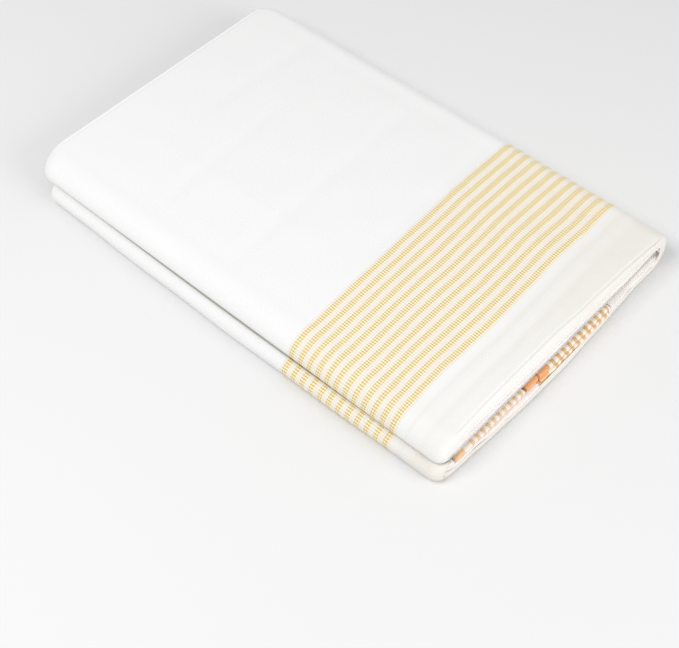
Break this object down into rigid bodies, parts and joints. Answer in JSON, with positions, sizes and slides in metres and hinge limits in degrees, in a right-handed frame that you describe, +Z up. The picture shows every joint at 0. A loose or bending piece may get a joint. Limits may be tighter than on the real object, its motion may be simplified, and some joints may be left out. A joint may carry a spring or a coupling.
{
  "type": "dhoti cloth, folded",
  "caption": "White cotton dhoti cloth folded flat into a pack, with gold-orange stripes across its top and a striped border at its layered near end.",
  "frame": {"origin": "under the middle of the pack, on the surface that it rests on", "axes": "+Z up, +Y along the pack's long side to its far end, +X to the last fold"},
  "size_m": [0.216, 0.3292, 0.0232],
  "materials": {
    "white_cotton": "fine white cotton with gold-orange woven stripes, matt with a faint sheen",
    "white_plies": "matt white cotton",
    "border_cotton": "orange and white woven border, with a faint sheen"
  },
  "bodies": {
    "root": {"outer_leaf": "white_cotton", "hidden_plies": "white_plies", "border_fold_left": "border_cotton", "border_fold_right": "border_cotton", "border_fold_under": "border_cotton"}
  },
  "joints": []
}
